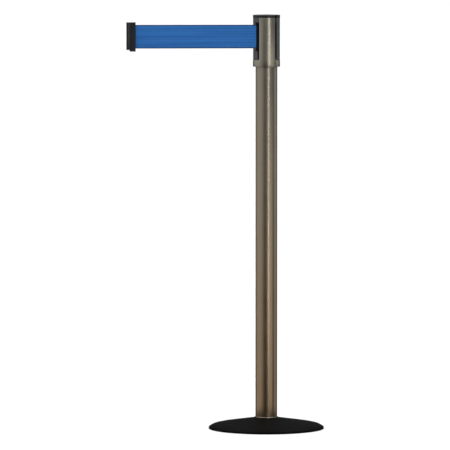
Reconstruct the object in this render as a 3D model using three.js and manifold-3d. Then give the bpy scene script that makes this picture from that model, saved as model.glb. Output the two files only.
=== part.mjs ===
// A retractable belt stanchion: weighted base, post, and a head that holds a spring reel of belt.
// Millimetres, +Z up. The origin is on the floor, on the post's axis. The belt leaves the head towards -X,
// in front of the axis, and the front is -Y.
import * as THREE from 'three';
import { mergeVertices } from 'three/addons/utils/BufferGeometryUtils.js';
import Module from 'manifold-3d';

const wasm = await Module();
wasm.setup();

// Overall sizes.
const totalHeight = 970;
const baseRadius = 135;
const postRadius = 25.4;
const headStep = 6.35;
const beltOut = 306;
const beltWidth = 55;

// Clearances.
const gap = 0.3;
const runGap = 0.3;
const slotClearance = 0.3;
const reelClearance = 0.6;

// Facets round a turned piece: the base, the usual piece and the small piece.
const baseFacets = 44;
const roundFacets = 32;
const smallFacets = 16;

// Base.
const domeHeight = 26;
const domeRim = 3;
const domeShoulderRun = 22;
const domeShoulderHeight = 12.4;
const coverWall = 1.2;
const coverFloorGap = 0.4;
const coverLandWidth = 1.3;
const rubberHeight = 3.2;
const floorRingWidth = 17;
const floorRingInset = 5;
const floorPadRadius = 32;
const padSpigotHeight = 5;
const padSpigotWall = 2.5;
const boltPocketRadius = 24;
const webThickness = 7.3;
const boltRadius = 6;
const boltHeadRadius = 10.4;
const boltHeadHeight = 7.5;
const boltLength = 36;
const washerThickness = 2.5;
const washerRadius = 12;
const springWasherRadius = 10;

// Post.
const postWall = 1.5;
const footPlugHeight = 24;
const footRingHeight = 2.2;
const footRingWidth = 1.2;
const topPlugDepth = 20;
const topPlugWall = 9.6;
const topFlangeHeight = 4.7;
const topFlangeRaise = 7.5;

// Head sleeve: a full ring at the bottom and two bands that run up the front and the back.
const sleeveWall = 1.2;
const bandHalfAngle = 36;

// Cassette.
const cassetteBaseHeight = 3.7;
const cassetteBossRadius = 6.6;
const cassetteScrewCount = 3;
const cassetteScrewRadius = 1.7;
const cassetteScrewHeadRadius = 3.3;
const cassetteScrewHeadHeight = 1.8;
const shellRimHeight = 1.5;
const shellScrewHeight = 12;
const shellScrewInset = 4.6;
const shellScrewRadius = 1.4;
const shellScrewHeadRadius = 2.6;

// Receiver slots, one in each quarter except the belt's own.
const slotAngle = 41;
const barWidth = 11;
const barThickness = 3.8;
const neckThickness = 3;
const mouthWidth = 5;
const receiverBack = 1.3;
const receiverFront = 1.4;
const receiverSide = 1.8;
const pocketFloorThickness = 3;

// Reel.
const spindleRadius = 3.5;
const bushWall = 1.2;
const bushLength = 8;
const coreRadius = 9;
const arborRadius = 7;
const coreNeckRadius = 7.5;
const coreNeckHeight = 5;
const flangeThickness = 2;
const flangeOverCoil = 1.86;
const roomUnderBelt = 1.2;
const roomOverBelt = 1.5;
const anchorPinRadius = 1;
const anchorPinCircle = 7.2;

// Power spring below the reel.
const cupWall = 1.2;
const cupHeight = 21;
const springCoverThickness = 1.3;
const springTurns = 6;
const springStrip = 0.5;
const springHeight = 17.6;

// Centrifugal brake above the reel.
const rotorThickness = 1.5;
const drumWall = 5.6;
const shoeClearance = 0.7;
const shoeInnerRadius = 10;
const shoeHeight = 5;
const shoePivotCircle = 12.5;
const shoePivotRadius = 1.2;
const bearingPlateThickness = 2.5;
const spindleEnd = 3;
const clipThickness = 0.9;

// Cap.
const capEdgeHeight = 6.3;
const capTopThickness = 3.7;
const capRecessRadius = 6;
const capRecessDepth = 2;
const capScrewHeadRadius = 4.5;
const capScrewRadius = 1.5;
const capScrewLength = 16;

// Belt and its end.
const beltThickness = 0.5;
const endLength = 14;
const endDepth = 8.4;
const endTopMargin = 6;
const endBottomMargin = 7;
const barBottomMargin = 3.2;
const neckLength = 3.6;
const clampPinRadius = 1.5;
const guidePinRadius = 1.5;
const guideBackRoom = 1.25;
const guideFrontRoom = 0.8;
const guideLipHeight = 1.8;
const endScrewRadius = 1;

// Radii worked out from the sizes above, from the head's outside inwards.
const headRadius = postRadius + headStep;
const sleeveInner = headRadius - sleeveWall;
const underBand = sleeveInner - gap - 0.05;
const shellBulgeRadius = headRadius - 0.45;
const receiverRadius = sleeveInner - gap - 0.25;
const slotDepth = barThickness + 2 * slotClearance;
const slotInnerRadius = receiverRadius - receiverFront - slotDepth;
const cavityRadius = slotInnerRadius - receiverBack - 0.5;
const cupRadius = cavityRadius - 0.5;
const flangeRadius = cavityRadius - reelClearance;
const coilRadius = flangeRadius - flangeOverCoil;
const drumOuterRadius = cavityRadius + 0.2;
const drumRadius = drumOuterRadius - drumWall;
const rotorRadius = drumRadius - 0.5;
const shoeOuterRadius = drumRadius - shoeClearance;
const shellRimRadius = drumRadius + 1;
const capInnerRadius = drumOuterRadius + gap;
const postBore = postRadius - postWall;
const topPlugRadius = postBore - gap;
const cassetteScrewCircle = topPlugRadius - topPlugWall / 2;

// Heights in the head, counted up from its bottom edge.
const shellRaise = topFlangeRaise + topFlangeHeight + gap + cassetteBaseHeight + gap;
const beltRaise = shellRaise + cupHeight + gap + springCoverThickness + 3 * runGap + flangeThickness
  + roomUnderBelt;
const shellTopRaise = beltRaise + beltWidth + roomOverBelt + flangeThickness + gap + shellRimHeight;
const drumHeight = shoeHeight + 2 * shoeClearance;
const roomOverSpindle = 1.4;
const capSkirtHeight = drumHeight + bearingPlateThickness + spindleEnd + roomOverSpindle
  + capTopThickness - capEdgeHeight;
const headHeight = shellTopRaise + gap + capSkirtHeight + capEdgeHeight;

// Levels of the whole object.
const headBottom = totalHeight - headHeight;
const flangeBottom = headBottom + topFlangeRaise;
const postTop = flangeBottom - gap;
const flangeTop = flangeBottom + topFlangeHeight;
const cassetteBottom = flangeTop + gap;
const cassetteTop = cassetteBottom + cassetteBaseHeight;
const shellBottom = headBottom + shellRaise;
const ringTop = shellBottom - 3 * gap;
const shellTop = headBottom + shellTopRaise;
const shellRimBottom = shellTop - shellRimHeight;
const capSkirtBottom = shellTop + gap;
const capEdgeBottom = totalHeight - capEdgeHeight;
const beltBottom = headBottom + beltRaise;
const beltTop = beltBottom + beltWidth;
const coreFloor = beltBottom - roomUnderBelt;
const coreTop = beltTop + roomOverBelt;
const coreNeckTop = coreTop + coreNeckHeight;
const cupTop = shellBottom + cupHeight;
const cupFloor = shellBottom + cupWall;
const springCoverBottom = cupTop + gap;
const drumTop = capSkirtBottom + drumHeight;
const plateTop = drumTop + bearingPlateThickness;
const spindleTop = plateTop + spindleEnd;
const spindleBottom = cassetteBottom - topFlangeHeight;

// The belt's plane, the belt end and the way out through the head's wall.
const beltPlane = -(coilRadius + gap + beltThickness / 2);
const endRight = -beltOut - 0.5;
const endLeft = endRight - endLength;
const barRight = endLeft - neckLength;
const barLeft = barRight - barThickness;
const clampPinPlace = endRight - endLength / 2 - 0.5;
const beltLeft = clampPinPlace + clampPinRadius + gap * 2 + 0.2;
const receiverFloor = beltBottom - barBottomMargin - gap;
const pocketFloor = shellBottom + pocketFloorThickness;
const wayOut = -Math.sqrt(shellBulgeRadius ** 2 - beltPlane ** 2);
const guideLeft = wayOut - 2.2;
const guideRight = wayOut + 13;
const guidePinPlace = wayOut + 7.66;
const guideDepth = 5;
const lipBottom = beltBottom - 6;
const guidePinOffset = beltThickness / 2 + 0.35 + guidePinRadius;

// Base levels and radii.
const weightBottom = rubberHeight + gap;
const coverHole = postRadius + gap;
const coverLand = coverHole + coverLandWidth;
const shoulderRadius = baseRadius - domeShoulderRun;
const weightTop = domeHeight - coverWall - gap;
const webBottom = weightTop - webThickness;
const postBottom = weightTop + gap;

const grey = (value) => new THREE.Color(value, value, value);

const looks = {
  satinMetal: { color: new THREE.Color(0.36, 0.33, 0.28), roughness: 0.35, metalness: 1 },
  chrome: { color: grey(0.6), roughness: 0.15, metalness: 1 },
  steel: { color: grey(0.5), roughness: 0.4, metalness: 1 },
  iron: { color: grey(0.12), roughness: 0.8, metalness: 0.6 },
  blackPaint: { color: grey(0.015), roughness: 0.45, metalness: 0 },
  blackPlastic: { color: grey(0.02), roughness: 0.4, metalness: 0 },
  greyPlastic: { color: grey(0.08), roughness: 0.55, metalness: 0 },
  whitePlastic: { color: grey(0.7), roughness: 0.4, metalness: 0 },
  rubber: { color: grey(0.03), roughness: 0.9, metalness: 0 },
  brass: { color: new THREE.Color(0.55, 0.4, 0.16), roughness: 0.35, metalness: 1 },
  springSteel: { color: new THREE.Color(0.2, 0.22, 0.28), roughness: 0.3, metalness: 1 },
  blueBelt: { color: new THREE.Color(0.03, 0.12, 0.33), roughness: 0.85, metalness: 0 },
};

// A closed three.js geometry as a solid that can be joined and cut.
function solid(geometry) {
  const bare = geometry.clone();
  bare.deleteAttribute('normal');
  bare.deleteAttribute('uv');
  const merged = mergeVertices(bare, 1e-4);
  const index = merged.index.array;
  const kept = [];
  for (let i = 0; i < index.length; i += 3) {
    const [a, b, c] = [index[i], index[i + 1], index[i + 2]];
    if (a !== b && b !== c && c !== a) kept.push(a, b, c);
  }
  return new wasm.Manifold(new wasm.Mesh({
    numProp: 3,
    vertProperties: new Float32Array(merged.attributes.position.array),
    triVerts: new Uint32Array(kept),
  }));
}

// A turned solid about the Z axis from its closed outline of [radius, height] points.
function turned(outline, segments = roundFacets) {
  let area = 0;
  outline.forEach(([r, z], i) => {
    const [nextR, nextZ] = outline[(i + 1) % outline.length];
    area += r * nextZ - nextR * z;
  });
  const ordered = area > 0 ? outline : [...outline].reverse();
  const points = [...ordered, ordered[0]].map(([r, z]) => new THREE.Vector2(r, z));
  return solid(new THREE.LatheGeometry(points, segments).rotateX(Math.PI / 2));
}

// A ring or tube; an inner radius of 0 makes a disc.
function ring(inner, outer, bottom, top, segments = roundFacets) {
  return turned([[inner, bottom], [outer, bottom], [outer, top], [inner, top]], segments);
}

// An upright round rod or hole cutter at a place in plan.
function rod(radius, bottom, top, x = 0, y = 0, segments = smallFacets) {
  return solid(new THREE.CylinderGeometry(radius, radius, top - bottom, segments)
    .rotateX(Math.PI / 2).translate(x, y, (top + bottom) / 2));
}

// A box between two opposite corners.
function block(low, high) {
  const size = high.map((value, i) => value - low[i]);
  const centre = high.map((value, i) => (value + low[i]) / 2);
  return solid(new THREE.BoxGeometry(...size).translate(...centre));
}

// An upright prism from an outline of [x, y] points.
function prism(outline, bottom, top) {
  const shape = new THREE.Shape(outline.map(([x, y]) => new THREE.Vector2(x, y)));
  const geometry = new THREE.ExtrudeGeometry(shape, { depth: top - bottom, bevelEnabled: false });
  return solid(geometry.translate(0, 0, bottom));
}

const degrees = (angle) => angle * Math.PI / 180;

// A point in plan: the angle is measured from the front (-Y) towards the right (+X).
const fromFront = (radius, angle) => [radius * Math.sin(degrees(angle)), -radius * Math.cos(degrees(angle))];

// A wedge prism that spans a range of angles from the front, out past the head.
function wedge(from, to, bottom, top, reach = headRadius * 2) {
  const steps = Math.max(2, Math.ceil(Math.abs(to - from) / 15));
  const outline = [[0, 0]];
  for (let i = 0; i <= steps; i += 1) outline.push(fromFront(reach, from + (to - from) * i / steps));
  return prism(outline, bottom, top);
}

const group = new THREE.Group();

// Adds one named piece to the object.
function piece(name, shape, look) {
  const mesh = shape.getMesh();
  const geometry = new THREE.BufferGeometry();
  geometry.setAttribute('position', new THREE.BufferAttribute(mesh.vertProperties, 3));
  geometry.setIndex(new THREE.BufferAttribute(mesh.triVerts, 1));
  geometry.computeVertexNormals();
  const part = new THREE.Mesh(geometry, new THREE.MeshStandardMaterial(look));
  part.name = name;
  group.add(part);
}

// The dome's outline from the centre hole to the rim, moved inwards by an offset.
function domeOutline(offset, hole) {
  const outer = baseRadius - offset;
  return [
    [hole, domeHeight - offset],
    [coverLand, domeHeight - offset],
    [shoulderRadius, domeShoulderHeight - offset],
    [shoulderRadius + domeShoulderRun * 0.32, domeShoulderHeight * 0.89 - offset],
    [shoulderRadius + domeShoulderRun * 0.68 - offset * 0.3, domeShoulderHeight * 0.63 - offset],
    [outer - (baseRadius - shoulderRadius) * 0.09, domeShoulderHeight * 0.42 - offset * 0.8],
    [outer, domeRim - offset * 0.5],
  ];
}

// The cast weight, its cover and the rubber under it.
function addBase() {
  const ringOuter = baseRadius - floorRingInset;
  const ringInner = ringOuter - floorRingWidth;
  const cover = turned([
    ...domeOutline(0, coverHole),
    [baseRadius, coverFloorGap],
    [baseRadius - coverWall, coverFloorGap],
    ...domeOutline(coverWall, coverHole).reverse(),
  ], baseFacets);
  piece('base_cover', cover, looks.blackPaint);

  const inset = coverWall + gap;
  const underCover = domeOutline(inset, boltRadius + gap).slice(0, 5);
  const rim = underCover[underCover.length - 1][0];
  const weight = turned([
    ...underCover,
    [rim, weightBottom],
    [boltPocketRadius, weightBottom],
    [boltPocketRadius, webBottom],
    [boltRadius + gap, webBottom],
  ], baseFacets);
  piece('base_weight', weight, looks.iron);

  const ringEdge = Math.min(ringOuter, rim - gap);
  piece('floor_ring', ring(ringInner, ringEdge, 0, rubberHeight, baseFacets), looks.rubber);
  const spigotOuter = boltPocketRadius - gap;
  const pad = turned([
    [0, 0],
    [floorPadRadius, 0],
    [floorPadRadius, rubberHeight],
    [spigotOuter, rubberHeight],
    [spigotOuter, rubberHeight + padSpigotHeight],
    [spigotOuter - padSpigotWall, rubberHeight + padSpigotHeight],
    [spigotOuter - padSpigotWall, rubberHeight],
    [0, rubberHeight],
  ]);
  piece('floor_pad', pad, looks.rubber);
}

// The bolt that pulls the post down on the weight, with its two washers.
function addBaseBolt() {
  const washerTop = webBottom - gap;
  const springWasherTop = washerTop - washerThickness - gap;
  const headTop = springWasherTop - washerThickness - gap;
  const hole = boltRadius + gap;
  const washer = ring(hole, washerRadius, washerTop - washerThickness, washerTop, smallFacets);
  piece('base_washer', washer, looks.steel);
  const springWasher = ring(hole, springWasherRadius, springWasherTop - washerThickness, springWasherTop,
    smallFacets);
  const split = block([0, -0.8, springWasherTop - washerThickness - 1],
    [springWasherRadius + 2, 0.8, springWasherTop + 1]);
  piece('spring_washer', springWasher.subtract(split), looks.steel);
  const head = rod(boltHeadRadius, headTop - boltHeadHeight, headTop, 0, 0, 6);
  piece('base_bolt', head.add(rod(boltRadius, headTop - 1, headTop + boltLength)), looks.steel);
}

// The post tube with the plug at each end and the trim ring at its foot.
function addPost() {
  piece('post_tube', ring(postBore, postRadius, postBottom, postTop), looks.satinMetal);
  const footPlugBottom = postBottom + 1;
  const footPlugTop = footPlugBottom + footPlugHeight;
  piece('post_foot_plug', ring(boltRadius + gap, topPlugRadius, footPlugBottom, footPlugTop), looks.steel);
  piece('post_foot_ring', turned([
    [coverHole, domeHeight + gap],
    [coverHole + footRingWidth, domeHeight + gap],
    [coverHole + footRingWidth, domeHeight + gap + footRingHeight - 0.6],
    [coverHole + footRingWidth - 0.5, domeHeight + gap + footRingHeight],
    [coverHole, domeHeight + gap + footRingHeight],
  ]), looks.chrome);
  const hollow = topPlugRadius - topPlugWall;
  const boss = cassetteBossRadius + gap * 3;
  const plug = turned([
    [hollow, flangeBottom - topPlugDepth],
    [topPlugRadius, flangeBottom - topPlugDepth],
    [topPlugRadius, flangeBottom],
    [underBand, flangeBottom],
    [underBand, flangeTop],
    [boss, flangeTop],
    [boss, flangeBottom],
    [hollow, flangeBottom - 2],
  ]);
  piece('post_top_plug', cutCassetteScrews(plug, cassetteScrewRadius + gap), looks.iron);
}

// Cuts the holes for the three cassette screws.
function cutCassetteScrews(shape, radius) {
  let result = shape;
  for (let i = 0; i < cassetteScrewCount; i += 1) {
    const [x, y] = fromFront(cassetteScrewCircle, i * 360 / cassetteScrewCount);
    result = result.subtract(rod(radius, flangeBottom - topPlugDepth - 1, cassetteTop + 1, x, y));
  }
  return result;
}

// The metal sleeve: bottom ring with a turned-in lip, front band and back band.
function addSleeve() {
  const inner = sleeveInner;
  const bandTop = capEdgeBottom - gap;
  let sleeve = turned([
    [postRadius + gap, headBottom],
    [headRadius - 1, headBottom],
    [headRadius, headBottom + 1],
    [headRadius, bandTop],
    [inner, bandTop],
    [inner, headBottom + sleeveWall],
    [postRadius + gap, headBottom + sleeveWall],
  ]);
  const windowSpan = 180 - 2 * bandHalfAngle;
  for (const side of [90, 270]) {
    sleeve = sleeve.subtract(wedge(side - windowSpan / 2, side + windowSpan / 2, ringTop, bandTop + 1));
  }
  piece('head_sleeve', sleeve, looks.satinMetal);
}

// The plate that carries the reel cassette, and its screws into the post's top plug.
function addCassetteBase() {
  const plate = turned([
    [spindleRadius + gap, cassetteBottom - topFlangeHeight],
    [cassetteBossRadius, cassetteBottom - topFlangeHeight],
    [cassetteBossRadius, cassetteBottom],
    [underBand, cassetteBottom],
    [underBand, cassetteTop],
    [spindleRadius + gap, cassetteTop],
  ]);
  const headDepth = cassetteScrewHeadHeight + 0.4;
  let drilled = cutCassetteScrews(plate, cassetteScrewRadius + gap);
  for (let i = 0; i < cassetteScrewCount; i += 1) {
    const [x, y] = fromFront(cassetteScrewCircle, i * 360 / cassetteScrewCount);
    const headRoom = rod(cassetteScrewHeadRadius + 0.4, cassetteTop - headDepth, cassetteTop + 1, x, y);
    drilled = drilled.subtract(headRoom);
    const headTop = cassetteTop - 0.1;
    const head = rod(cassetteScrewHeadRadius, headTop - cassetteScrewHeadHeight, headTop, x, y);
    const shank = rod(cassetteScrewRadius, flangeBottom - 8, headTop - 1, x, y, 12);
    piece(`cassette_screw_${i + 1}`, head.add(shank), looks.steel);
  }
  piece('cassette_base', drilled, looks.blackPlastic);
}

// A slot for a belt end's locking bar, in its own frame: x across, y out from the axis.
function slotOutline(extra) {
  const halfBar = barWidth / 2 + slotClearance + extra;
  const halfMouth = mouthWidth / 2 + extra;
  const outerFace = slotInnerRadius + slotDepth + extra;
  return [
    [-halfBar, slotInnerRadius - extra],
    [halfBar, slotInnerRadius - extra],
    [halfBar, outerFace],
    [halfMouth, outerFace],
    [halfMouth, headRadius + 3],
    [-halfMouth, headRadius + 3],
    [-halfMouth, outerFace],
    [-halfBar, outerFace],
  ];
}

// Turns an outline from a slot's own frame to its place round the head.
function roundHead(outline, angle) {
  const [outX, outY] = fromFront(1, angle);
  return outline.map(([across, out]) => [across * -outY + out * outX, across * outX + out * outY]);
}

const receiverAngles = {
  receiver_front_right: slotAngle,
  receiver_back_right: 180 - slotAngle,
  receiver_back_left: 180 + slotAngle,
};

// The body of a receiver: a block that follows the head's round outside.
function receiverBody(angle, extra) {
  const back = slotInnerRadius - receiverBack - extra;
  const half = barWidth / 2 + slotClearance + receiverSide + extra;
  const outline = [[-half, back], [half, back], [half, headRadius + 3], [-half, headRadius + 3]];
  return prism(roundHead(outline, angle), pocketFloor - extra, shellTop + extra);
}

// The three receivers, each with a slot that is open at the top.
function addReceivers() {
  for (const [name, angle] of Object.entries(receiverAngles)) {
    const outside = ring(0, receiverRadius, shellBottom, shellTop + 1);
    const slot = prism(roundHead(slotOutline(0), angle), receiverFloor, shellTop + 1);
    piece(name, receiverBody(angle, 0).intersect(outside).subtract(slot), looks.blackPlastic);
  }
}

// The block round the belt's way out, slightly larger for its pocket.
function exitBody(extra, bottom) {
  const reach = guideDepth + extra;
  return block([guideLeft - extra, beltPlane - reach, bottom - extra],
    [guideRight + extra, beltPlane + reach, shellTop + extra]);
}

// The belt's way through the wall, opening towards the outside.
function exitPassage() {
  const outside = wayOut - headRadius / 2;
  const outline = [
    [0, beltPlane - guideFrontRoom],
    [0, beltPlane + guideBackRoom],
    [wayOut + 5, beltPlane + guideBackRoom],
    [outside, beltPlane + guideBackRoom * 3],
    [outside, beltPlane - guideFrontRoom],
  ];
  return prism(outline, beltBottom - 2.5, beltTop + 2.5);
}

// The two moulded halves round the reel, with pockets for the receivers and the exit guide.
function addShells() {
  let body = turned([
    [cavityRadius, shellBottom],
    [shellBulgeRadius, shellBottom],
    [shellBulgeRadius, shellTop],
    [shellRimRadius, shellTop],
    [shellRimRadius, shellRimBottom],
    [cavityRadius, shellRimBottom],
  ]);
  const grooveEdge = 2 * slotAngle - bandHalfAngle + 0.5;
  const outerRing = ring(underBand, headRadius + 3, shellBottom - 1, shellTop + 1);
  const grooveRing = ring(receiverRadius, headRadius + 3, ringTop + gap, shellTop + 1);
  const lowRing = ring(underBand, headRadius + 3, shellBottom - 1, ringTop + gap);
  body = body.subtract(lowRing);
  for (const middle of [0, 180]) {
    body = body.subtract(outerRing.intersect(
      wedge(middle - bandHalfAngle - 0.6, middle + bandHalfAngle + 0.6, shellBottom - 1, shellTop + 1)));
    for (const side of [-1, 1]) {
      body = body.subtract(grooveRing.intersect(wedge(middle + side * (bandHalfAngle + 0.4),
        middle + side * grooveEdge, ringTop, shellTop + 1)));
    }
  }
  const underSkin = ring(0, receiverRadius + gap, shellBottom, shellTop + 1);
  for (const angle of Object.values(receiverAngles)) {
    body = body.subtract(receiverBody(angle, gap).intersect(underSkin));
  }
  body = body.subtract(exitBody(gap, pocketFloor).intersect(underSkin));
  body = body.subtract(exitBody(gap, lipBottom)).subtract(exitPassage());

  const screwHeight = shellBottom + shellScrewHeight;
  for (const [name, side] of [['shell_screw_front', -1], ['shell_screw_back', 1]]) {
    const y = side * (underBand - shellScrewInset);
    const along = (shape) => shape.rotate([0, 90, 0]).translate([0, y, screwHeight]);
    body = body.subtract(along(rod(shellScrewRadius + gap, -9, 9, 0, 0, 12)));
    body = body.subtract(along(rod(shellScrewHeadRadius + 0.4, 6, headRadius, 0, 0)));
    const head = rod(shellScrewHeadRadius, 6.4, 8.4);
    piece(name, along(head.add(rod(shellScrewRadius, -8, 7, 0, 0, 12))), looks.steel);
  }
  const reach = headRadius + 3;
  const half = gap / 2;
  const leftSide = block([-reach, -reach, shellBottom - 1], [-half, reach, shellTop + 1]);
  const rightSide = block([half, -reach, shellBottom - 1], [reach, reach, shellTop + 1]);
  piece('left_shell', body.intersect(leftSide), looks.greyPlastic);
  piece('right_shell', body.intersect(rightSide), looks.greyPlastic);
}

// The smooth insert at the belt's way out, with two steel pins that the belt runs between.
function addExitGuide() {
  const inside = cavityRadius + 0.1;
  const lip = ring(inside, shellBulgeRadius + guideLipHeight, lipBottom, shellRimBottom)
    .intersect(wedge(-80, -slotAngle - 1, lipBottom, shellRimBottom));
  const outside = ring(inside, receiverRadius, pocketFloor, shellRimBottom).add(lip);
  let guide = exitBody(0, pocketFloor).intersect(outside).subtract(exitPassage());
  for (const [name, side] of [['guide_pin_front', -1], ['guide_pin_back', 1]]) {
    const y = beltPlane + side * guidePinOffset;
    guide = guide.subtract(rod(guidePinRadius + gap, lipBottom + 2.7, shellTop, guidePinPlace, y));
    piece(name, rod(guidePinRadius, lipBottom + 3, shellRimBottom - 0.6, guidePinPlace, y), looks.chrome);
  }
  piece('exit_guide', guide, looks.blackPlastic);
}

// The cap: a flat top with a rounded edge, and a skirt with the slots' open tops.
function addCap() {
  let cap = turned([
    [0, totalHeight - capTopThickness],
    [capInnerRadius, totalHeight - capTopThickness],
    [capInnerRadius, capSkirtBottom],
    [shellBulgeRadius, capSkirtBottom],
    [shellBulgeRadius, capEdgeBottom],
    [headRadius, capEdgeBottom],
    [headRadius, totalHeight - 1.2],
    [headRadius - 0.4, totalHeight - 0.4],
    [headRadius - 1.2, totalHeight],
    [0, totalHeight],
  ]);
  const outerRing = ring(underBand, headRadius + 3, capSkirtBottom - 1, capEdgeBottom);
  for (const middle of [0, 180]) {
    cap = cap.subtract(outerRing.intersect(
      wedge(middle - bandHalfAngle - 0.6, middle + bandHalfAngle + 0.6, capSkirtBottom - 1, capEdgeBottom)));
  }
  for (const angle of Object.values(receiverAngles)) {
    cap = cap.subtract(prism(roundHead(slotOutline(0), angle), capSkirtBottom - 1, totalHeight + 1));
  }
  cap = cap.subtract(rod(capRecessRadius, totalHeight - capRecessDepth, totalHeight + 1, 0, 0, roundFacets));
  cap = cap.subtract(rod(capScrewRadius + gap, capSkirtBottom, totalHeight, 0, 0));
  piece('top_cap', cap, looks.greyPlastic);

  const headBottomFace = totalHeight - capRecessDepth + 0.1;
  const head = rod(capScrewHeadRadius, headBottomFace, totalHeight - 0.3, 0, 0, smallFacets);
  const drive = rod(2, totalHeight - 1.3, totalHeight, 0, 0, 6);
  const shank = rod(capScrewRadius, headBottomFace - capScrewLength, headBottomFace + 0.2, 0, 0, 12);
  piece('cap_screw', head.add(shank).subtract(drive), looks.steel);
}

// The fixed spindle, its clip and the two plain bushes that the core turns on.
function addSpindle() {
  const grooveBottom = plateTop + gap;
  const grooveTop = grooveBottom + clipThickness + 2 * gap;
  const shaft = rod(spindleRadius, spindleBottom, spindleTop, 0, 0, smallFacets);
  const screwHole = rod(capScrewRadius + gap, totalHeight - capRecessDepth - capScrewLength - 2,
    spindleTop + 1, 0, 0);
  const groove = ring(spindleRadius - 0.6, spindleRadius + 2, grooveBottom, grooveTop, smallFacets);
  piece('spindle', shaft.subtract(screwHole).subtract(groove), looks.steel);

  const clipBottom = grooveBottom + gap;
  const clipTop = clipBottom + clipThickness;
  const clip = ring(spindleRadius - 0.3, spindleRadius + 3, clipBottom, clipTop, smallFacets);
  const openHalf = spindleRadius - 1;
  const opening = block([0, -openHalf, clipBottom - 1], [spindleRadius + 5, openHalf, clipTop + 1]);
  piece('e_clip', clip.subtract(opening), looks.springSteel);

  const bushInner = spindleRadius + runGap;
  const bushOuter = bushInner + bushWall;
  const lowerBottom = cupFloor + 1;
  const bush = (bottom) => ring(bushInner, bushOuter, bottom, bottom + bushLength, smallFacets);
  piece('lower_bush', bush(lowerBottom), looks.brass);
  piece('upper_bush', bush(coreNeckTop - bushLength), looks.brass);
}

// The spool: core with its lower flange and spring arbor, top flange, anchor pin and the wound belt.
function addSpool() {
  const bore = spindleRadius + runGap + bushWall + gap;
  let core = turned([
    [bore, cupFloor + 1],
    [arborRadius, cupFloor + 1],
    [arborRadius, coreFloor - flangeThickness],
    [flangeRadius, coreFloor - flangeThickness],
    [flangeRadius, coreFloor],
    [coreRadius, coreFloor],
    [coreRadius, coreTop],
    [coreNeckRadius, coreTop],
    [coreNeckRadius, coreNeckTop],
    [bore, coreNeckTop],
  ], roundFacets);
  core = core.subtract(rod(anchorPinRadius + gap, beltBottom - 0.6, coreNeckTop + 1, anchorPinCircle, 0, 12));
  piece('spool_core', core, looks.whitePlastic);
  const topFlange = ring(coreNeckRadius + gap, flangeRadius, coreTop + gap, coreTop + flangeThickness)
    .subtract(rod(anchorPinRadius + gap, coreTop, coreTop + 3, anchorPinCircle, 0, 12));
  piece('spool_top_flange', topFlange, looks.whitePlastic);
  piece('belt_anchor_pin', rod(anchorPinRadius, beltBottom, beltTop, anchorPinCircle, 0, 12), looks.steel);
  piece('belt_coil', ring(coreRadius + gap, coilRadius, beltBottom, beltTop), looks.blueBelt);
}

// The wound power spring in its cup, with a cover.
function addPowerSpring() {
  const cup = turned([
    [spindleRadius + gap, shellBottom],
    [cupRadius, shellBottom],
    [cupRadius, cupTop],
    [cupRadius - cupWall, cupTop],
    [cupRadius - cupWall, cupFloor],
    [spindleRadius + gap, cupFloor],
  ]);
  piece('spring_cup', cup, looks.steel);
  const coverTop = springCoverBottom + springCoverThickness;
  piece('spring_cover', ring(arborRadius + gap, cupRadius, springCoverBottom, coverTop), looks.steel);

  const inner = arborRadius + gap + springStrip / 2;
  const outer = cupRadius - cupWall - gap - springStrip / 2;
  const steps = springTurns * 12;
  const inside = [];
  const outside = [];
  for (let i = 0; i <= steps; i += 1) {
    const middle = inner + (outer - inner) * i / steps;
    const angle = 360 * springTurns * i / steps;
    outside.push(fromFront(middle + springStrip / 2, angle));
    inside.push(fromFront(middle - springStrip / 2, angle));
  }
  const bottom = cupFloor + 0.9;
  piece('power_spring', prism([...outside, ...inside.reverse()], bottom, bottom + springHeight),
    looks.springSteel);
}

// One brake shoe's outline: an arc that starts a little before its pivot.
function shoeOutline(pivotAngle) {
  const from = pivotAngle - 18;
  const to = pivotAngle + 105;
  const steps = 12;
  const outline = [];
  const along = (i) => from + (to - from) * i / steps;
  for (let i = 0; i <= steps; i += 1) outline.push(fromFront(shoeOuterRadius, along(i)));
  for (let i = steps; i >= 0; i -= 1) outline.push(fromFront(shoeInnerRadius, along(i)));
  return outline;
}

// The brake: a rotor on the spool's neck, two shoes on pivots, and the fixed drum with its bearing plate.
function addBrake() {
  const rotorBottom = coreTop + flangeThickness + gap;
  const rotorTop = rotorBottom + rotorThickness;
  const shoeBottom = rotorTop + gap;
  let rotor = ring(coreNeckRadius + gap, rotorRadius, rotorBottom, rotorTop);
  [90, 270].forEach((angle, i) => {
    const [x, y] = fromFront(shoePivotCircle, angle);
    rotor = rotor.subtract(rod(shoePivotRadius + gap, rotorBottom - 1, rotorTop + 1, x, y, 12));
    const hole = rod(shoePivotRadius + gap, shoeBottom - 1, shoeBottom + shoeHeight + 1, x, y, 12);
    const shoe = prism(shoeOutline(angle), shoeBottom, shoeBottom + shoeHeight).subtract(hole);
    piece(`brake_shoe_${i + 1}`, shoe, looks.brass);
    const pivot = rod(shoePivotRadius, rotorBottom, shoeBottom + shoeHeight + 0.4, x, y, 12);
    piece(`shoe_pivot_${i + 1}`, pivot, looks.steel);
  });
  piece('brake_rotor', rotor, looks.steel);
  piece('bearing_plate', turned([
    [drumRadius, capSkirtBottom],
    [drumOuterRadius, capSkirtBottom],
    [drumOuterRadius, plateTop],
    [spindleRadius + gap, plateTop],
    [spindleRadius + gap, drumTop],
    [drumRadius, drumTop],
  ]), looks.steel);
}

// The drawn-out belt: a flat band from the coil, through the exit guide, to the belt end.
function addBelt() {
  const half = beltThickness / 2;
  piece('belt', block([beltLeft, beltPlane - half, beltBottom], [0, beltPlane + half, beltTop]),
    looks.blueBelt);
}

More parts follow.
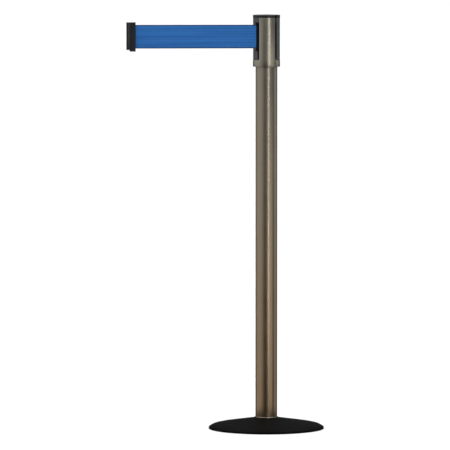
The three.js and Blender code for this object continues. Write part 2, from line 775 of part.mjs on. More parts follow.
// The belt end: a moulded body with the locking bar, a cover half, a clamp pin and two screws.
function addBeltEnd() {
  const bottom = beltBottom - endBottomMargin;
  const top = beltTop + endTopMargin;
  const barBottom = beltBottom - barBottomMargin;
  const joint = beltPlane;
  const half = endDepth / 2;
  const lead = 1;
  const sideOutline = (depthLow, depthHigh, left) => {
    const shape = new THREE.Shape([
      new THREE.Vector2(left + lead, bottom),
      new THREE.Vector2(endRight, bottom),
      new THREE.Vector2(endRight, top),
      new THREE.Vector2(left, top),
      new THREE.Vector2(left, bottom + lead),
    ]);
    const geometry = new THREE.ExtrudeGeometry(shape, { depth: depthHigh - depthLow, bevelEnabled: false });
    return solid(geometry.rotateX(Math.PI / 2).translate(0, depthHigh, 0));
  };
  const beltPocket = block([clampPinPlace - 2, joint - beltThickness / 2 - gap, beltBottom - gap],
    [endRight + 1, joint + beltThickness / 2 + gap, beltTop + gap]);
  const pinPocket = rod(clampPinRadius + gap, beltBottom - 1, beltTop + 1, clampPinPlace, joint);
  const screws = [['belt_end_screw_lower', bottom + 3.4], ['belt_end_screw_upper', top - 2.9]];

  let body = sideOutline(joint + gap / 2, joint + half, endLeft);
  body = body.add(block([barRight - 1, joint - neckThickness / 2, barBottom],
    [endLeft + 1, joint + neckThickness / 2, top]));
  body = body.add(block([barLeft, joint - barWidth / 2, barBottom], [barRight, joint + barWidth / 2, top]));
  let cover = sideOutline(joint - half, joint - gap / 2, endLeft + 1 + gap);
  body = body.subtract(beltPocket).subtract(pinPocket);
  cover = cover.subtract(beltPocket).subtract(pinPocket);
  for (const [name, height] of screws) {
    const along = (shape) => shape.rotate([-90, 0, 0]).translate([clampPinPlace, joint, height]);
    body = body.subtract(along(rod(endScrewRadius + gap, -half, half + 1, 0, 0, 12)));
    body = body.subtract(along(rod(endScrewRadius + 1.3, half - 1.7, half + 1, 0, 0)));
    cover = cover.subtract(along(rod(endScrewRadius + gap, -half + 1.2, half, 0, 0, 12)));
    piece(name, along(rod(endScrewRadius, -half + 1.5, half - 1, 0, 0, 12)
      .add(rod(endScrewRadius + 1, half - 1.4, half - 0.2, 0, 0))), looks.steel);
  }
  piece('belt_end_body', body, looks.blackPlastic);
  piece('belt_end_cover', cover, looks.blackPlastic);
  const pin = rod(clampPinRadius, beltBottom - 0.5, beltTop + 0.5, clampPinPlace, joint);
  piece('belt_clamp_pin', pin, looks.steel);
}

addBase();
addBaseBolt();
addPost();
addSleeve();
addCassetteBase();
addShells();
addReceivers();
addExitGuide();
addPowerSpring();
addSpool();
addSpindle();
addBrake();
addCap();
addBelt();
addBeltEnd();

export default group;
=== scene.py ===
# The finish of a retractable belt stanchion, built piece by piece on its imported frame.
# Metres, +Z up, front at -Y.
import math

import bmesh
import bpy
from mathutils import Matrix, Vector


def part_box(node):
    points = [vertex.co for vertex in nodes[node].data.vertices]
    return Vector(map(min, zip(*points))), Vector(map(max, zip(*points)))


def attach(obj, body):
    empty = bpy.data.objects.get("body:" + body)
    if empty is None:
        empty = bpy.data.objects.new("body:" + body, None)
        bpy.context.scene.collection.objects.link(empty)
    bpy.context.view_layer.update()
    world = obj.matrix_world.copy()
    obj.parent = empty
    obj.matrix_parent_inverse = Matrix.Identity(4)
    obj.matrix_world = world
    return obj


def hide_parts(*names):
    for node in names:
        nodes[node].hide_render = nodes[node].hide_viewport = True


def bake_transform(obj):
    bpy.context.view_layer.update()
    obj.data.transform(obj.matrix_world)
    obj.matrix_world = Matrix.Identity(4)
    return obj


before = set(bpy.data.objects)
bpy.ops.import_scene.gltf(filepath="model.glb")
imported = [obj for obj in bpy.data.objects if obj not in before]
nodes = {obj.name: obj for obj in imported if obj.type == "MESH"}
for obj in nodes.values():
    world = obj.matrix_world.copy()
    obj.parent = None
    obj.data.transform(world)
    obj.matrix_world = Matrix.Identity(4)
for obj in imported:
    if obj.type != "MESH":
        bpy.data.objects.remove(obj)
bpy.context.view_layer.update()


# ---------------------------------------------------------------------------------------------------------
# Camera. A long lens a little above the belt's height looks at the middle of the post from far away,
# turned a few degrees towards the belt's side.
# ---------------------------------------------------------------------------------------------------------
view_centre = Vector((-0.097, 0, 0.4785))
view_width = 1.053
view_distance = 11.4
view_azimuth = math.radians(-3)
view_elevation = math.radians(3.97)

camera = bpy.data.objects.new("camera", bpy.data.cameras.new("camera"))
bpy.context.scene.collection.objects.link(camera)
bpy.context.scene.camera = camera
back = Vector((
    math.sin(view_azimuth) * math.cos(view_elevation),
    -math.cos(view_azimuth) * math.cos(view_elevation),
    math.sin(view_elevation),
))
camera.location = view_centre + back * view_distance
camera.rotation_euler = back.to_track_quat("Z", "Y").to_euler()
camera.data.lens = camera.data.sensor_width * view_distance / view_width
camera.data.clip_end = 400


# ---------------------------------------------------------------------------------------------------------
# Base weight. A thick disc of cast iron with a pocket for the bolt, left as it came out of the sand.
# ---------------------------------------------------------------------------------------------------------
class Value:
    """A shader socket. Arithmetic on it adds Math nodes, and node() adds any other node beside it."""

    def __init__(self, socket):
        self.socket = socket

    def node(self, kind, settings, inputs, output=0):
        added = self.socket.id_data.nodes.new(kind)
        for name, setting in settings.items():
            if name == "stops":
                while len(added.color_ramp.elements) < len(setting):
                    added.color_ramp.elements.new(0.5)
                for element, (position, shade) in zip(added.color_ramp.elements, setting):
                    element.position = position
                    element.color = (shade, shade, shade, 1)
            else:
                setattr(added, name, setting)
        for name, value in inputs.items():
            if isinstance(value, Value):
                self.socket.id_data.links.new(value.socket, added.inputs[name])
            else:
                added.inputs[name].default_value = value
        return Value(added.outputs[output])

    def maths(self, operation, *others):
        inputs = dict(enumerate((self,) + others))
        return self.node("ShaderNodeMath", {"operation": operation}, inputs)

    def __add__(self, other):
        return self.maths("ADD", other)

    def __mul__(self, other):
        return self.maths("MULTIPLY", other)

    def __sub__(self, other):
        return self.maths("SUBTRACT", other)

    def __rsub__(self, other):
        return self.node("ShaderNodeMath", {"operation": "SUBTRACT"}, {0: other, 1: self})

    __radd__ = __add__
    __rmul__ = __mul__

    def axis(self, index):
        """One component of this vector: 0, 1 or 2."""
        return self.node("ShaderNodeSeparateXYZ", {}, {0: self}, index)

    def stretched(self, x, y, z):
        return self.node("ShaderNodeVectorMath", {"operation": "MULTIPLY"}, {0: self, 1: (x, y, z)})

    def noise(self, scale, detail=3, roughness=0.55):
        inputs = {"Vector": self, "Scale": scale, "Detail": detail, "Roughness": roughness}
        return self.node("ShaderNodeTexNoise", {}, inputs)

    def ramp(self, *stops):
        return self.node("ShaderNodeValToRGB", {"stops": stops}, {0: self})

    def mixed(self, low, high):
        """The colour between low and high that this value picks."""
        return self.node("ShaderNodeMix", {"data_type": "RGBA"}, {0: self, 6: low, 7: high}, 2)

    def bump(self, depth, strength=1.0):
        return self.node("ShaderNodeBump", {}, {"Height": self, "Distance": depth, "Strength": strength})


def finish(name, **constants):
    """A new material with its constant values set on the shader, and its object coordinates."""
    material = bpy.data.materials.new(name)
    material.use_nodes = True
    shader = material.node_tree.nodes["Principled BSDF"]
    for socket, value in constants.items():
        shader.inputs[socket.replace("_", " ")].default_value = value
    coordinates = material.node_tree.nodes.new("ShaderNodeTexCoord")
    return material, Value(coordinates.outputs["Object"])


def wire(material, **values):
    """Links values to the shader's sockets."""
    shader = material.node_tree.nodes["Principled BSDF"]
    for socket, value in values.items():
        material.node_tree.links.new(value.socket, shader.inputs[socket.replace("_", " ")])


def coat(piece, material):
    """Gives a piece one material."""
    piece.data.materials.clear()
    piece.data.materials.append(material)


def cast_iron_finish():
    material, place = finish("cast_iron", Metallic=0.35)
    grains = place.noise(900, 4)
    lumps = place.noise(120, 3)
    rust = place.noise(35, 5).ramp((0.52, 0), (0.72, 1))
    wire(
        material,
        Base_Color=(rust * 0.5).mixed((0.045, 0.043, 0.042, 1), (0.12, 0.055, 0.03, 1)),
        Roughness=0.62 + grains * 0.25,
        Normal=(grains * 0.5 + lumps).bump(0.0006),
    )
    return material


cast_iron = cast_iron_finish()
coat(nodes["base_weight"], cast_iron)


# ---------------------------------------------------------------------------------------------------------
# Base cover. A shallow cone spun from sheet steel with a soft shoulder and a turned-down rim, stove
# enamelled satin black. It drops over the weight and the post stands through its centre hole.
# ---------------------------------------------------------------------------------------------------------
mm = 0.001
base_low, base_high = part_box("base_cover")
base_radius = base_high[0]
dome_top = base_high[2]
foot_low, foot_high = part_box("post_foot_ring")
slip_gap = 0.3 * mm
hole_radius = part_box("post_tube")[1][0] + slip_gap
cover_wall = 1.2 * mm
shoulder_radius = base_radius - 22 * mm
shoulder_height = 12.4 * mm
rim_start_radius = base_radius - 9.5 * mm
rim_start_height = shoulder_height * 0.78
rim_height = 4.2 * mm
scuffed_height = 6 * mm


def filleted(corners, segments=6):
    """An outline in which each corner (x, y, radius) is an arc; a corner (x, y) stays sharp."""
    outline = []
    for i, corner in enumerate(corners):
        here = Vector(corner[:2])
        if len(corner) == 2:
            outline.append(here)
            continue
        to_last = (Vector(corners[i - 1][:2]) - here).normalized()
        to_next = (Vector(corners[(i + 1) % len(corners)][:2]) - here).normalized()
        half = to_last.angle(to_next) / 2
        radius = corner[2]
        centre = here + (to_last + to_next).normalized() * radius / math.sin(half)
        start = (here + to_last * radius / math.tan(half) - centre).normalized()
        end = (here + to_next * radius / math.tan(half) - centre).normalized()
        for step in range(segments + 1):
            outline.append(centre + start.slerp(end, step / segments) * radius)
    return outline


def made(name, mesh, sharp=35):
    """A finished bmesh as an object, smooth except over edges sharper than an angle."""
    data = bpy.data.meshes.new(name)
    mesh.to_mesh(data)
    mesh.free()
    data.shade_smooth()
    data.set_sharp_from_angle(angle=math.radians(sharp))
    piece = bpy.data.objects.new(name, data)
    bpy.context.scene.collection.objects.link(piece)
    return piece


def turned(name, outline, steps=160):
    """A piece spun about the post's axis from a closed outline of (radius, height)."""
    mesh = bmesh.new()
    ring = [mesh.verts.new((radius, 0, height)) for radius, height in outline]
    for a, b in zip(ring, ring[1:] + ring[:1]):
        if a.co.x > 0 or b.co.x > 0:
            mesh.edges.new((a, b))
    geometry = ring + list(mesh.edges)
    bmesh.ops.spin(mesh, geom=geometry, axis=(0, 0, 1), angle=math.tau, steps=steps, use_merge=True)
    bmesh.ops.remove_doubles(mesh, verts=mesh.verts, dist=1e-6)
    bmesh.ops.recalc_face_normals(mesh, faces=mesh.faces)
    return made(name, mesh)


def black_enamel_finish():
    material, place = finish("black_enamel", Specular_IOR_Level=0.02)
    peel = place.noise(420, 2)
    dust = place.noise(9, 5).ramp((0.45, 0), (0.75, 1))
    specks = place.noise(1500, 1).ramp((0.70, 0), (0.76, 1))
    height = place.axis(2)
    scuffs = place.stretched(40, 40, 600).noise(1, 4).ramp((0.6, 0), (0.7, 1))
    rim = height.maths("LESS_THAN", scuffed_height)
    worn = rim * scuffs
    shade = dust * 0.35 + specks * 0.25 + worn * 0.5
    wire(
        material,
        Base_Color=shade.mixed((0.002, 0.002, 0.0022, 1), (0.010, 0.010, 0.0098, 1)),
        Roughness=0.5 + dust * 0.12 + worn * 0.2,
        Normal=(peel * 0.8 + specks * 0.2).bump(0.00012),
    )
    return material


black_enamel = black_enamel_finish()
base_dome = turned("base_dome", filleted([
    (hole_radius, dome_top, 0.4 * mm),
    (foot_high[0] + 0.4 * mm, dome_top, 3 * mm),
    (shoulder_radius, shoulder_height, 40 * mm),
    (rim_start_radius, rim_start_height, 14 * mm),
    (base_radius - 0.1 * mm, rim_height, 2.2 * mm),
    (base_radius, base_low[2]),
    (base_radius - cover_wall, base_low[2]),
    (base_radius - cover_wall, 2.2 * mm),
    (rim_start_radius, rim_start_height - cover_wall),
    (shoulder_radius, shoulder_height - cover_wall),
    (foot_high[0], dome_top - cover_wall),
    (hole_radius, dome_top - cover_wall),
]), steps=200)
coat(base_dome, black_enamel)
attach(base_dome, "stand")
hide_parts("base_cover")


# ---------------------------------------------------------------------------------------------------------
# Floor rubber. A ring near the rim and a pad in the middle, moulded with round ribs so that they grip,
# and pressed into the weight from below.
# ---------------------------------------------------------------------------------------------------------
def rubber_finish():
    material, place = finish("floor_rubber", Specular_IOR_Level=0.3)
    bloom = place.noise(60, 5)
    grain = place.noise(2400, 2)
    wire(
        material,
        Base_Color=bloom.mixed((0.012, 0.012, 0.012, 1), (0.045, 0.044, 0.042, 1)),
        Roughness=0.78 + grain * 0.15,
        Normal=(grain + bloom * 0.4).bump(0.0001),
    )
    return material


rib_depth = 0.8 * mm
tread_width = 13.9 * mm
tread_ribs = 4
pad_thickness = 3.2 * mm
lip_outer = 23.6 * mm
lip_inner = 21.2 * mm
lip_top = 8.2 * mm


def ribbed(inner, outer, bottom, top, ribs):
    """The outline of a flat ring whose underside carries round ribs."""
    pitch = (outer - inner) / ribs
    corners = []
    for rib in range(ribs):
        left = inner + rib * pitch
        corners.append((left + pitch * 0.1, bottom + rib_depth))
        corners.append((left + pitch * 0.25, bottom, 0.3 * mm))
        corners.append((left + pitch * 0.75, bottom, 0.3 * mm))
        corners.append((left + pitch * 0.9, bottom + rib_depth))
    corners.append((outer, bottom + rib_depth))
    corners.append((outer, top, 0.4 * mm))
    corners.append((inner, top, 0.4 * mm))
    corners.append((inner, bottom + rib_depth))
    return filleted(corners, 3)


floor_rubber = rubber_finish()
tread_radius, _, tread_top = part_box("floor_ring")[1]
floor_tread = turned(
    "floor_tread",
    ribbed(tread_radius - tread_width, tread_radius, 0, tread_top, tread_ribs),
)
pad_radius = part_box("floor_pad")[1][0]
centre_pad = turned("centre_pad", filleted([
    (0, 0),
    (pad_radius - 8 * mm, 0, 0.4 * mm),
    (pad_radius - 7 * mm, rib_depth),
    (pad_radius - 6 * mm, rib_depth),
    (pad_radius - 5 * mm, 0, 0.4 * mm),
    (pad_radius, 0, 0.6 * mm),
    (pad_radius, pad_thickness, 0.6 * mm),
    (lip_outer, pad_thickness),
    (lip_outer, lip_top, 0.6 * mm),
    (lip_inner, lip_top, 0.6 * mm),
    (lip_inner, pad_thickness),
    (0, pad_thickness),
], 3))
for piece, node in ((floor_tread, "floor_ring"), (centre_pad, "floor_pad")):
    coat(piece, floor_rubber)
    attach(piece, "stand")
    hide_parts(node)


# ---------------------------------------------------------------------------------------------------------
# Bolt, washers, plugs and the other turned steel pieces. Bright zinc over machined steel; the plug at the
# top of the post is cast.
# ---------------------------------------------------------------------------------------------------------
def zinc_finish():
    material, place = finish("zinc_steel", Metallic=1.0)
    clouds = place.noise(160, 4)
    scratches = place.stretched(3000, 300, 300).noise(1, 2)
    wire(
        material,
        Base_Color=clouds.mixed((0.50, 0.51, 0.52, 1), (0.66, 0.66, 0.64, 1)),
        Roughness=0.25 + clouds * 0.15 + scratches * 0.1,
        Normal=scratches.bump(0.00002),
    )
    return material


zinc_steel = zinc_finish()
for node in nodes:
    if node.startswith(("base_bolt", "base_washer", "spring_washer", "post_foot_plug", "cassette_screw",
                        "shell_screw", "cap_screw", "spindle", "belt_anchor_pin", "spring_c", "brake_rotor",
                        "shoe_pivot", "bearing_plate", "belt_clamp_pin", "belt_end_screw")):
        coat(nodes[node], zinc_steel)
coat(nodes["post_top_plug"], cast_iron)


# ---------------------------------------------------------------------------------------------------------
# Post. A two-inch steel tube, ground to a satin face and lacquered in a nickel tone. Its colour is painted
# warmer and brighter towards the foot, painted light standing in for the warm light the floor throws there.
# ---------------------------------------------------------------------------------------------------------
def satin_nickel_finish(name, painted_light_gain):
    material, place = finish(name, Metallic=1.0)
    grinding = place.stretched(90, 90, 5200).noise(1, 3)
    bands = place.stretched(3, 3, 260).noise(1, 2)
    handling = place.noise(14, 5).ramp((0.42, 0), (0.72, 1))
    height = place.axis(2)
    tone = bands * 0.5 + handling * 0.4
    # Painted light: the tone near the foot is warmer and brighter, standing in for the floor's warm
    # reflected light.
    foot_painted_light_tone = tone.mixed((0.44, 0.298, 0.176, 1), (0.52, 0.365, 0.222, 1))
    high_tone = tone.mixed((0.32, 0.30, 0.24, 1), (0.39, 0.37, 0.31, 1))
    wire(
        material,
        # The gain paints a whole copy of the nickel brighter or darker, as painted light.
        Base_Color=height.mixed(foot_painted_light_tone, high_tone).stretched(painted_light_gain, painted_light_gain, painted_light_gain),
        Roughness=0.24 + grinding * 0.12 + handling * 0.06,
        Normal=(grinding + bands * 0.3).bump(0.00002),
    )
    return material


satin_nickel = satin_nickel_finish("satin_nickel", 1.0)
tube_low, tube_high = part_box("post_tube")
post_radius = tube_high[0]
tube_wall = 1.5 * mm
post_bore = post_radius - tube_wall
post = turned("post", filleted([
    (post_bore, tube_low[2]),
    (post_radius, tube_low[2], 0.4 * mm),
    (post_radius, tube_high[2], 0.4 * mm),
    (post_bore, tube_high[2]),
], 3))
coat(post, satin_nickel)
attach(post, "stand")
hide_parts("post_tube")


# ---------------------------------------------------------------------------------------------------------
# Foot ring. A thin bright ring slipped down the post, which hides the cover's centre hole.
# ---------------------------------------------------------------------------------------------------------
def bright_trim_finish():
    material, place = finish("bright_trim", Metallic=1.0)
    smears = place.noise(90, 4)
    wire(
        material,
        Base_Color=smears.mixed((0.25, 0.22, 0.18, 1), (0.34, 0.30, 0.25, 1)),
        Roughness=0.12 + smears * 0.12,
    )
    return material


bright_trim = bright_trim_finish()
foot_ring = turned("foot_ring", filleted([
    (hole_radius, foot_low[2]),
    (foot_high[0], foot_low[2], 0.3 * mm),
    (foot_high[0], foot_high[2], 0.9 * mm),
    (hole_radius, foot_high[2], 0.2 * mm),
], 4))
coat(foot_ring, bright_trim)
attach(foot_ring, "stand")
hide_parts("post_foot_ring")


# ---------------------------------------------------------------------------------------------------------
# Head sleeve. A wider satin tube cut away at both sides, which leaves a full ring at the bottom and a
# band up the front and the back. Its bottom edge is turned in to meet the post.
# ---------------------------------------------------------------------------------------------------------
sleeve_low, sleeve_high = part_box("head_sleeve")
head_radius = sleeve_high[0]
sleeve_wall = 1.2 * mm
ring_height = 15.6 * mm
ring_top = sleeve_low[2] + ring_height
band_half_angle = 36
sleeve_steps = 200


def front_angle(point):
    """Degrees from the nearer of the front and the back of the head."""
    return math.degrees(math.atan2(abs(point.x), abs(point.y)))


def break_edges(piece, width, angle):
    """Rounds the edges that turn by more than an angle."""
    edge = piece.modifiers.new("edge", "BEVEL")
    edge.width = width
    edge.segments = 2
    edge.limit_method = "ANGLE"
    edge.angle_limit = math.radians(angle)


def head_sleeve():
    mesh = bmesh.new()
    bottom = sleeve_low[2]
    levels = [
        (post_radius + slip_gap, bottom),
        (head_radius - 1 * mm, bottom),
        (head_radius - 0.3 * mm, bottom + 0.3 * mm),
        (head_radius, bottom + 1 * mm),
        (head_radius, ring_top),
        (head_radius, sleeve_high[2]),
    ]
    line = [mesh.verts.new((0, -radius, height)) for radius, height in levels]
    edges = [mesh.edges.new(pair) for pair in zip(line, line[1:])]
    geometry = line + edges
    bmesh.ops.spin(mesh, geom=geometry, axis=(0, 0, 1), angle=math.tau, steps=sleeve_steps, use_merge=True)
    windows = [
        face for face in mesh.faces
        if face.calc_center_median().z > ring_top
        and front_angle(face.calc_center_median()) > band_half_angle
    ]
    bmesh.ops.delete(mesh, geom=windows, context="FACES")
    bmesh.ops.recalc_face_normals(mesh, faces=mesh.faces)
    return made("sleeve", mesh)


sleeve = head_sleeve()
wall = sleeve.modifiers.new("wall", "SOLIDIFY")
wall.thickness = sleeve_wall
wall.offset = -1
wall.use_even_offset = True
break_edges(sleeve, 0.25 * mm, 50)
# The head's copy of the nickel is painted 1.22 times brighter than the post's: painted light for the
# stronger light the head catches.
coat(sleeve, satin_nickel_finish("head_nickel_painted_brighter", 1.22))
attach(sleeve, "stand")
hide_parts("head_sleeve")


# ---------------------------------------------------------------------------------------------------------
# Side shells and cap. Two halves moulded in dark grey nylon with a fine spark-eroded texture, screwed
# together round the reel, and a cap to match. They show between the metal bands, with a dark groove beside
# each band. The cap's rim and top are polished black, and the receivers' slots come up through it.
# ---------------------------------------------------------------------------------------------------------
cad_facets = 32
slices_per_facet = 4
cap_gap = 0.2 * mm


def softened(name, node, width, facets=0):
    """A copy of a node with its facets rounded to true arcs and its edges broken by a small radius."""
    mesh = bmesh.new()
    mesh.from_mesh(nodes[node].data)
    bmesh.ops.remove_doubles(mesh, verts=mesh.verts, dist=1e-6)
    bmesh.ops.dissolve_limit(mesh, angle_limit=math.radians(1), verts=mesh.verts, edges=mesh.edges)
    if facets:
        slices = facets * slices_per_facet
        for i in range(slices // 2):
            turn = Matrix.Rotation(math.tau * i / slices, 3, "Z")
            normal = turn @ Vector((0, 1, 0))
            geometry = list(mesh.verts) + list(mesh.edges) + list(mesh.faces)
            bmesh.ops.bisect_plane(mesh, geom=geometry, dist=1e-6, plane_co=(0, 0, 0), plane_no=normal)
        half = math.pi / facets
        for vert in mesh.verts:
            from_middle = math.atan2(vert.co.y, vert.co.x) % (2 * half) - half
            bulge = math.cos(from_middle) / math.cos(half)
            vert.co.x *= bulge
            vert.co.y *= bulge
    piece = made(name, mesh)
    break_edges(piece, width, 40)
    return piece


def dark_nylon_finish():
    material, place = finish("dark_nylon", Specular_IOR_Level=0.4)
    spark = place.noise(2600, 2)
    flow = place.stretched(8, 8, 60).noise(1, 4)
    rubbed = place.noise(45, 5).ramp((0.55, 0), (0.75, 1))
    height = place.axis(2)
    rim = height.maths("GREATER_THAN", sleeve_high[2] + cap_gap)
    grey = (flow * 0.5 + rubbed * 0.4).mixed((0.054, 0.054, 0.057, 1), (0.082, 0.081, 0.083, 1))
    wire(
        material,
        Base_Color=rim.mixed(grey, (0.010, 0.010, 0.011, 1)),
        Roughness=0.5 + spark * 0.15 - rubbed * 0.1 - rim * 0.22,
        Normal=spark.bump(0.00006),
    )
    return material


dark_nylon = dark_nylon_finish()
for node in ("left_shell", "right_shell", "top_cap"):
    shell = softened(f"{node}_moulding", node, 0.15 * mm, cad_facets)
    coat(shell, dark_nylon)
    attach(shell, "stand")
    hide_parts(node)


# ---------------------------------------------------------------------------------------------------------
# Receivers, exit guide and cassette base. Smooth black acetal, moulded, with softened edges. The receivers
# and the guide stand in pockets of the side shells.
# ---------------------------------------------------------------------------------------------------------
def black_acetal_finish(name, dark, light, gloss):
    material, place = finish(name, Specular_IOR_Level=gloss)
    swirl = place.noise(30, 4)
    hairlines = place.stretched(900, 120, 900).noise(1, 3).ramp((0.60, 0), (0.72, 1))
    pores = place.noise(3000, 2)
    wire(
        material,
        Base_Color=(swirl * 0.4 + hairlines * 0.4).mixed(dark, light),
        Roughness=0.28 + swirl * 0.12 + hairlines * 0.15,
        Normal=(pores + hairlines * 0.5).bump(0.00003),
    )
    return material


black_acetal = black_acetal_finish("black_acetal", (0.001, 0.001, 0.0015, 1), (0.005, 0.005, 0.006, 1), 0.2)
coat(nodes["cassette_base"], black_acetal)
# The receivers reach down the grooves beside the bands to the shells' bottom: a black part put there as
# painted shade.
for node in ("receiver_front_right", "receiver_back_right", "receiver_back_left", "exit_guide"):
    moulding = softened(f"{node}_moulding", node, 0.12 * mm, cad_facets)
    coat(moulding, black_acetal)
    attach(moulding, "stand")
    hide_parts(node)
for node in ("guide_pin_front", "guide_pin_back"):
    coat(nodes[node], bright_trim)


# ---------------------------------------------------------------------------------------------------------
# Reel. A white acetal spool with brass bushes and brass brake shoes, and a blued spring and clip.
# ---------------------------------------------------------------------------------------------------------
def reel_finish(name, dark, light, metallic, roughness):
    material, place = finish(name, Metallic=metallic)
    clouds = place.noise(140, 4)
    grain = place.noise(1800, 2)
    wire(
        material,
        Base_Color=clouds.mixed(dark, light),
        Roughness=roughness + grain * 0.15,
        Normal=grain.bump(0.00003),
    )
    return material


white_acetal = reel_finish("white_acetal", (0.62, 0.61, 0.57, 1), (0.78, 0.77, 0.73, 1), 0.0, 0.35)
brass = reel_finish("brass", (0.48, 0.33, 0.11, 1), (0.66, 0.48, 0.20, 1), 1.0, 0.25)
blued_steel = reel_finish("blued_steel", (0.10, 0.12, 0.20, 1), (0.26, 0.27, 0.32, 1), 1.0, 0.22)
for node in ("spool_core", "spool_top_flange"):
    coat(nodes[node], white_acetal)
for node in ("lower_bush", "upper_bush", "brake_shoe_1", "brake_shoe_2"):
    coat(nodes[node], brass)
for node in ("power_spring", "e_clip"):
    coat(nodes[node], blued_steel)


# ---------------------------------------------------------------------------------------------------------
# Belt. Two-inch polyester webbing in blue, woven on a needle loom: close ribs run along it, the weft shows
# as fine steps, and a tight edge closes each side. It is wound on the spool and clamped in its end.
# ---------------------------------------------------------------------------------------------------------
belt_low, belt_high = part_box("belt")
belt_width = belt_high[2] - belt_low[2]
belt_length = belt_high[0] - belt_low[0]
belt_plane = (belt_low[1] + belt_high[1]) / 2
belt_bottom = belt_low[2]
webbing_thickness = 0.5 * mm
rib_pitch = 1.35 * mm
weft_pitch = 0.9 * mm
edge_width = 2.2 * mm


def webbing_finish():
    material, _ = finish("blue_webbing", Sheen_Weight=0.1, Sheen_Roughness=0.4, Specular_IOR_Level=0.25)
    sheen_tint = material.node_tree.nodes["Principled BSDF"].inputs["Sheen Tint"]
    sheen_tint.default_value = (0.35, 0.55, 1.0, 1)
    layer = material.node_tree.nodes.new("ShaderNodeUVMap")
    layer.uv_map = "cloth"
    cloth = Value(layer.outputs[0])
    along = cloth.axis(0)
    across = cloth.axis(1)
    rib = (across * (math.pi / rib_pitch)).maths("SINE").maths("ABSOLUTE")
    row = (across * (1 / rib_pitch)).maths("FLOOR")
    phase = along * (math.pi / weft_pitch) + row * (math.pi / 2)
    step = phase.maths("SINE").maths("ABSOLUTE")
    to_edge = across.maths("MINIMUM", belt_width - across)
    edge = to_edge.maths("LESS_THAN", edge_width)
    streaks = cloth.stretched(60, 1600, 1).noise(1, 4)
    fibres = cloth.stretched(500, 9000, 1).noise(1, 2)
    rows = cloth.stretched(2, 420, 1).noise(1, 2)
    soil = cloth.stretched(12, 12, 1).noise(1, 4)
    shade = rib * 0.35 + step * 0.15 + streaks * 0.35 + rows * 1.8 - 0.95
    blue = shade.mixed((0.006, 0.072, 0.27, 1), (0.028, 0.180, 0.52, 1))
    edged = edge.mixed(blue, (0.008, 0.034, 0.10, 1))
    wire(
        material,
        Base_Color=edged,
        Roughness=0.62 + soil * 0.2,
        Normal=(rib * 0.7 + step * 0.5 * rib + fibres * 0.2).bump(0.00028),
    )
    return material


def webbing(name, path):
    """A strip of webbing along a path in plan, with its length and width as cloth coordinates."""
    mesh = bmesh.new()
    cloth = mesh.loops.layers.uv.new("cloth")
    rows = [belt_bottom + belt_width * share for share in (0, 0.04, 0.5, 0.96, 1)]
    first = [mesh.verts.new((path[0][0], path[0][1], height)) for height in rows]
    line = [mesh.edges.new(pair) for pair in zip(first, first[1:])]
    travelled = 0.0
    lengths = {vert: 0.0 for vert in first}
    for here, there in zip(path, path[1:]):
        grown = bmesh.ops.extrude_edge_only(mesh, edges=line)["geom"]
        verts = [item for item in grown if isinstance(item, bmesh.types.BMVert)]
        line = [item for item in grown if isinstance(item, bmesh.types.BMEdge)]
        step = Vector((there[0] - here[0], there[1] - here[1], 0))
        bmesh.ops.translate(mesh, verts=verts, vec=step)
        travelled += step.length
        lengths.update((vert, travelled) for vert in verts)
    for face in mesh.faces:
        for loop in face.loops:
            loop[cloth].uv = (lengths[loop.vert], loop.vert.co.z - belt_bottom)
    piece = made(name, mesh, 60)
    body = piece.modifiers.new("thickness", "SOLIDIFY")
    body.thickness = webbing_thickness
    body.offset = 0
    return piece


blue_webbing = webbing_finish()
belt_steps = 160
straight = [(belt_high[0] - belt_length * i / belt_steps, belt_plane) for i in range(belt_steps + 1)]
drawn_belt = webbing("drawn_belt", straight)
coat(drawn_belt, blue_webbing)
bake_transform(drawn_belt)
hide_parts("belt")

coil_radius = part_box("belt_coil")[1][0]
flange_overhang = 12.5 * mm
core_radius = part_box("spool_core")[1][0] - flange_overhang
coil_turns = 19
turn_steps = 40
coil = []
for i in range(coil_turns * turn_steps + 1):
    share = i / (coil_turns * turn_steps)
    radius = coil_radius - webbing_thickness / 2 - (coil_radius - core_radius - webbing_thickness) * share
    angle = math.tau * coil_turns * share - math.pi / 2
    coil.append((radius * math.cos(angle), radius * math.sin(angle)))
wound_belt = webbing("wound_belt", coil)
coat(wound_belt, blue_webbing)
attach(wound_belt, "spool")
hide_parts("belt_coil")


# ---------------------------------------------------------------------------------------------------------
# Belt end. Two black acetal halves that clamp the belt round a pin, with a locking bar on a neck at the
# outer edge, which drops into another post's slot.
# ---------------------------------------------------------------------------------------------------------
end_acetal = black_acetal_finish("end_acetal", (0.005, 0.006, 0.009, 1), (0.015, 0.016, 0.022, 1), 0.5)
for node in ("belt_end_body", "belt_end_cover"):
    half = softened(f"{node}_moulding", node, 0.5 * mm)
    coat(half, end_acetal)
    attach(half, "belt_end")
    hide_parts(node)


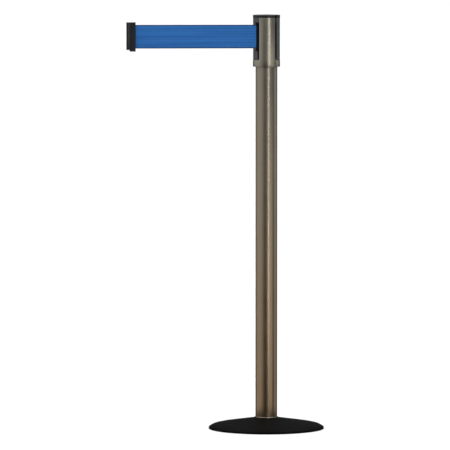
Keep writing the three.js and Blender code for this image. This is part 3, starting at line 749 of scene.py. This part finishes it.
# ---------------------------------------------------------------------------------------------------------
# Studio. A wide pale floor under an even, soft overhead light. A narrow key strip at the front right draws
# the highlight down the metal, and wider lights at the right and the left fill it. The metal doesn't mirror
# the floor.
# ---------------------------------------------------------------------------------------------------------
floor_reach = 100
ground = bmesh.new()
bmesh.ops.create_grid(ground, x_segments=1, y_segments=1, size=floor_reach)
floor = made("floor", ground)
floor_grey = (0.86, 0.86, 0.86, 1)
pale_floor, _ = finish("pale_floor", Base_Color=floor_grey, Roughness=0.9, Specular_IOR_Level=0.1)
coat(floor, pale_floor)
floor.visible_glossy = False
floor.visible_shadow = False


def area_light(name, place, aim, size, power):
    """A rectangular soft light at a place, turned to face a point."""
    lamp = bpy.data.lights.new(name, "AREA")
    lamp.shape = "RECTANGLE"
    lamp.size, lamp.size_y = size
    lamp.energy = power
    light = bpy.data.objects.new(name, lamp)
    light.location = place
    light.rotation_euler = (Vector(place) - Vector(aim)).to_track_quat("Z", "Y").to_euler()
    bpy.context.scene.collection.objects.link(light)


middle = (0, 0, 0.5)
overhead = bpy.data.objects.new("overhead", bpy.data.lights.new("overhead", "SUN"))
overhead.data.energy = 3.4
overhead.data.angle = math.radians(100)
bpy.context.scene.collection.objects.link(overhead)
area_light("key_strip", (1.5, -4.2, 0.9), middle, (0.32, 4.2), 28)
area_light("right_fill", (3.2, -2.9, -0.8), (0, 0, -0.8), (2.8, 4), 17.8)
area_light("right_rear", (3.9, 1.05, 0.3), middle, (2.2, 5), 15)
area_light("left_wide", (-4.2, 0.1, 0.3), middle, (7, 5), 47)
area_light("left_fill", (-2.9, -3.2, 0.3), middle, (1.5, 5), 5.5)

world = bpy.data.worlds.new("studio")
world.use_nodes = True
surroundings = world.node_tree.nodes["Background"]
surroundings.inputs["Color"].default_value = (0.9, 0.95, 1.0, 1)
ray = Value(world.node_tree.nodes.new("ShaderNodeLightPath").outputs["Is Camera Ray"])
heading = Value(world.node_tree.nodes.new("ShaderNodeTexCoord").outputs["Generated"])
rise = heading.axis(2)
dim = (rise + 0.5).ramp((0.385, 0.04), (0.445, 0.16))
world.node_tree.links.new((ray + dim).socket, surroundings.inputs["Strength"])
bpy.context.scene.world = world
bpy.context.scene.view_settings.view_transform = "Standard"
